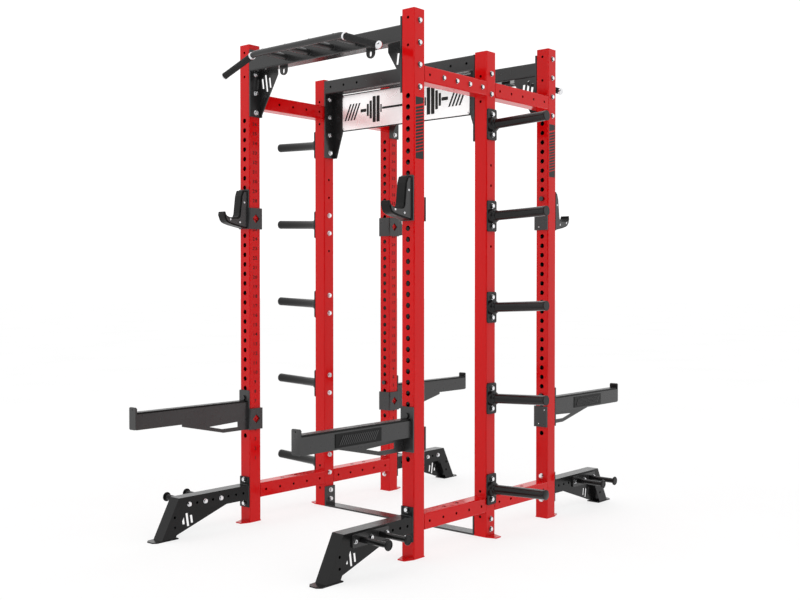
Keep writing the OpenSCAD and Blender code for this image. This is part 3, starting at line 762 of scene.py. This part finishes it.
def add_frame_welds():
    red, black = bmesh.new(), bmesh.new()
    span = HALF - 5 * MM
    for name, node in frame["nodes"].items():
        low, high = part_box(name)
        if "_beam_" in name:
            x = (low.x + high.x) / 2
            for y in (low.y, high.y):
                for z in (low.z, high.z):
                    weld_line(red, (x - span, y, z), (x + span, y, z))
        if name.startswith("foot_"):
            side = SIDES[name.split("_")[2]]
            middle_y = (low.y + high.y) / 2
            face = math.copysign(FACE_Y + PLATE, middle_y)
            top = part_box("bottom_beam_front_left")[1].z
            x = side * UPRIGHT_X
            weld_line(black, (x - span + 3 * MM, face, top), (x + span - 3 * MM, face, top))
            for way in (-1, 1):
                edge = x + way * FOOT_HALF
                weld_line(black, (edge, face, top - TUBE + 4 * MM), (edge, face, top - 4 * MM))
    for side, end in CORNERS:
        place = corner_point(side, end, 0, 0, 6 * MM)
        weld_line(red, place - Vector((span, 0, 0)), place + Vector((span, 0, 0)))
    for end, sign in ENDS.items():
        plate = INNER_X - CROSSMEMBER_PLATE
        for way in (-1, 1):
            for z in (CROSSMEMBER_Z + HALF, CROSSMEMBER_Z - HALF):
                start = Vector((way * plate, sign * BAY - span, z))
                weld_line(black, start, start + Vector((0, 2 * span, 0)))
    add_piece("frame_welds", red, RED_SOLID, sharp=60)
    add_piece("black_welds", black, BLACK, sharp=60)


# ---------- markings ----------


def digit_meshes():
    """Thin solids of the ten digits, 1 unit of type size high."""
    made = []
    for digit in range(10):
        curve = bpy.data.curves.new(f"digit_{digit}", "FONT")
        curve.body = str(digit)
        curve.align_x = "CENTER"
        curve.resolution_u = 2
        curve.extrude = 0.012
        curve.offset = 0.02
        text = bpy.data.objects.new(curve.name, curve)
        bpy.context.scene.collection.objects.link(text)
        bpy.context.view_layer.update()
        shown = text.evaluated_get(bpy.context.evaluated_depsgraph_get())
        made.append(bpy.data.meshes.new_from_object(shown))
        bpy.data.objects.remove(text)
    return made


def add_hole_numbers():
    """Numbers from 1 to 36 beside the holes, on the uprights' faces towards the cage's middle."""
    digits = digit_meshes()
    size, wide, advance, drop = 25 * MM, 1.1, 0.62, 26 * MM
    scaled = Matrix.Diagonal((size * wide, size, size, 1))
    for side, end in CORNERS:
        bm = bmesh.new()
        for number in range(1, LAST_HOLE + 1):
            z = HOLE_1_Z + (number - 1) * HOLE_PITCH - drop
            origin = Vector((SIDES[side] * INNER_X, ENDS[end] * BAY, z))
            place = facing(origin, (-SIDES[side], 0, 0)) @ scaled
            label = str(number)
            for i, character in enumerate(label):
                shift = (i - (len(label) - 1) / 2) * advance
                before = len(bm.verts)
                bm.from_mesh(digits[int(character)])
                bm.verts.ensure_lookup_table()
                bmesh.ops.transform(
                    bm, matrix=place @ Matrix.Translation((shift, 0, 0)), verts=bm.verts[before:])
        bmesh.ops.remove_doubles(bm, verts=bm.verts, dist=0.000001)
        add_piece(f"hole_numbers_{end}_{side}", bm, ETCHED)
    for mesh in digits:
        bpy.data.meshes.remove(mesh)


def add_upright_decals():
    """Black vinyl panels of slanting bars between solid ends, high on the right-hand uprights."""
    width, bottom, top = 56 * MM, 1850 * MM, 2134 * MM
    solid, bar, gap, lean = 26 * MM, 10.5 * MM, 4.5 * MM, 13 * MM
    for end, sign in ENDS.items():
        bm = bmesh.new()
        place = facing((OUTER_X, sign * BAY, (bottom + top) / 2), (1, 0, 0))
        half_w, half_h = width / 2, (top - bottom) / 2
        film = 0.25 * MM
        prism(bm, [(-half_w, -half_h), (half_w, -half_h), (half_w, lean + solid - half_h),
                   (-half_w, solid - half_h)], place, film)
        prism(bm, [(-half_w, half_h - solid - lean), (half_w, half_h - solid), (half_w, half_h),
                   (-half_w, half_h)], place, film)
        low = solid - half_h + gap
        while low + bar < half_h - solid - lean:
            prism(bm, [(-half_w, low), (half_w, low + lean), (half_w, low + lean + bar),
                       (-half_w, low + bar)], place, film)
            low += bar + gap
        add_piece(f"upright_decal_{end}", bm, VINYL)


# Blocks on each side of the sign's barbell, in mm: middle, half width and half height
BARBELL = [(158, 5, 22), (180, 12, 72), (209, 12, 72), (235, 9, 50), (257, 8, 34), (290, 22, 9)]


def add_sign_graphic():
    """A barbell between slanting bars, in black on the sign's face."""
    low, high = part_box("sign_plate")
    place = facing(((low.x + high.x) / 2, low.y, (low.z + high.z) / 2), (0, -1, 0))
    film = 0.3 * MM
    bm = bmesh.new()

    def block(x, half_w, half_h):
        soft = min(4 * MM, half_w * 0.45, half_h * 0.45)
        outline = []
        for sx, sy, start in ((1, 1, 0), (-1, 1, 90), (-1, -1, 180), (1, -1, 270)):
            for k in range(5):
                turn = math.radians(start + 22.5 * k)
                outline.append((
                    x + sx * (half_w - soft) + soft * math.cos(turn),
                    sy * (half_h - soft) + soft * math.sin(turn),
                ))
        prism(bm, outline, place, film)

    block(0, 150 * MM, 6 * MM)
    for way in (-1, 1):
        for x, half_w, half_h in BARBELL:
            block(way * x * MM, half_w * MM, half_h * MM)
        for i in range(4):
            x = way * (340 + 23 * i) * MM
            lean, half_w, half_h = 22 * MM, 6 * MM, 46 * MM
            prism(bm, [(x - lean - half_w, -half_h), (x - lean + half_w, -half_h),
                       (x + lean + half_w, half_h), (x + lean - half_w, half_h)], place, film)
    add_piece("sign_graphic", bm, VINYL)


# ---------- stage, light and camera ----------


def add_light(name, place, target, size, energy):
    data = bpy.data.lights.new(name, "AREA")
    data.shape = "RECTANGLE"
    data.size, data.size_y = size
    data.energy = energy
    light = bpy.data.objects.new(name, data)
    light.location = place
    light.rotation_euler = (Vector(target) - Vector(place)).to_track_quat("-Z", "Y").to_euler()
    bpy.context.scene.collection.objects.link(light)


FLOOR_GLOW = 0.71
# The dim wall: its direction, the cosines where its edge fades, and the strengths around and on it
WALL_TOWARD = (0.755, -0.656, 0.05)
WALL_FADE = (0.50, 0.92)
STUDIO_GLOW, WALL_GLOW = 1.12, 0.05


def add_floor():
    """A white floor with faint shadows that runs into a white background."""
    bpy.ops.mesh.primitive_plane_add(size=120, location=(0, 0, 0))
    floor = bpy.context.object
    floor.name = "floor"
    glow = {"Emission_Color": (1, 1, 1, 1), "Emission_Strength": FLOOR_GLOW}
    shader = Shader("pale_floor", Roughness=0.9, **glow)
    shader.bsdf.inputs["Specular IOR Level"].default_value = 0.0
    shader.vary_colour(shader.noise(0.8, 2), [(0.3, grey(0.28, 1)), (0.7, grey(0.30, 1))])
    floor.data.materials.append(shader.material)


def add_studio():
    """A white studio with a dim wall beyond the front right corner, seen only in reflections."""
    world = bpy.data.worlds.new("studio")
    world.use_nodes = True
    nodes, links = world.node_tree.nodes, world.node_tree.links
    direction = nodes.new("ShaderNodeTexCoord")
    toward = nodes.new("ShaderNodeVectorMath")
    toward.operation = "DOT_PRODUCT"
    toward.inputs[1].default_value = WALL_TOWARD
    wall = nodes.new("ShaderNodeMapRange")
    wall.interpolation_type = "SMOOTHSTEP"
    wall.inputs["From Min"].default_value, wall.inputs["From Max"].default_value = WALL_FADE
    wall.inputs["To Min"].default_value = STUDIO_GLOW
    wall.inputs["To Max"].default_value = WALL_GLOW
    ray = nodes.new("ShaderNodeLightPath")
    seen = nodes.new("ShaderNodeMath")
    seen.operation = "MAXIMUM"
    links.new(direction.outputs["Generated"], toward.inputs[0])
    links.new(toward.outputs["Value"], wall.inputs["Value"])
    links.new(wall.outputs["Result"], seen.inputs[0])
    links.new(ray.outputs["Is Camera Ray"], seen.inputs[1])
    background = nodes["Background"]
    background.inputs["Color"].default_value = (1, 1, 1, 1)
    links.new(seen.outputs["Value"], background.inputs["Strength"])
    bpy.context.scene.world = world
    bpy.context.scene.view_settings.view_transform = "Standard"
    add_light("key", (3.2, -4.0, 5.5), (0, 0, 1.2), (3.5, 3.5), 60)


CAMERA_PLACE = (3.7062, -4.2630, 1.2800)
CAMERA_LENS = 47.05
# The way the camera looks: degrees from +Y towards -X, and degrees down
CAMERA_AZIMUTH, CAMERA_PITCH = 40.964, 0.958


def add_camera():
    data = bpy.data.cameras.new("camera")
    data.sensor_width = 36
    data.lens = CAMERA_LENS
    camera = bpy.data.objects.new("camera", data)
    azimuth, pitch = math.radians(CAMERA_AZIMUTH), math.radians(CAMERA_PITCH)
    level = math.cos(pitch)
    forward = Vector((-math.sin(azimuth) * level, math.cos(azimuth) * level, -math.sin(pitch)))
    camera.location = CAMERA_PLACE
    camera.rotation_euler = forward.to_track_quat("-Z", "Y").to_euler()
    bpy.context.scene.collection.objects.link(camera)
    bpy.context.scene.camera = camera


dress_frame()
add_bolts()
add_pull_up_bars()
add_pull_up_grips()
add_hook_screws()
add_wrap_screws()
add_pin_sleeves()
add_badge_ribs()
add_frame_welds()
add_hole_numbers()
add_upright_decals()
add_sign_graphic()
add_floor()
add_studio()
add_camera()
